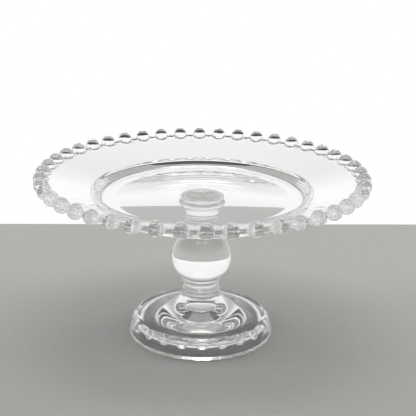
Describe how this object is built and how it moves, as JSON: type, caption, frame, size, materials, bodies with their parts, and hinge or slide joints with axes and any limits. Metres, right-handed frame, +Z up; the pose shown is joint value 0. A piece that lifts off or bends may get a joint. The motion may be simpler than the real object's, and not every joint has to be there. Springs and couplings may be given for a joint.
{
  "type": "cake stand",
  "caption": "Round pedestal cake stand of clear pressed glass: a shallow plate with a beaded rim, on a solid ball stem and a hollow bell foot with a lobed edge.",
  "frame": {"origin": "centre of the foot's base, on the surface that the stand rests on", "axes": "+Z up along the axis of the plate, stem and foot; a bead of the rim lies on +Y and one on -Y, and +X passes between two beads"},
  "size_m": [0.3016, 0.3024, 0.1572],
  "materials": {
    "clear_glass": "fire-polished pressed glass, clear, with a faint grey-green tone where it is thick",
    "clear_adhesive": "thin layer of clear cured adhesive"
  },
  "bodies": {
    "root": {"plate": "clear_glass", "plate_bond": "clear_adhesive", "ball_stem": "clear_glass", "foot_bond": "clear_adhesive", "foot": "clear_glass"}
  },
  "joints": []
}
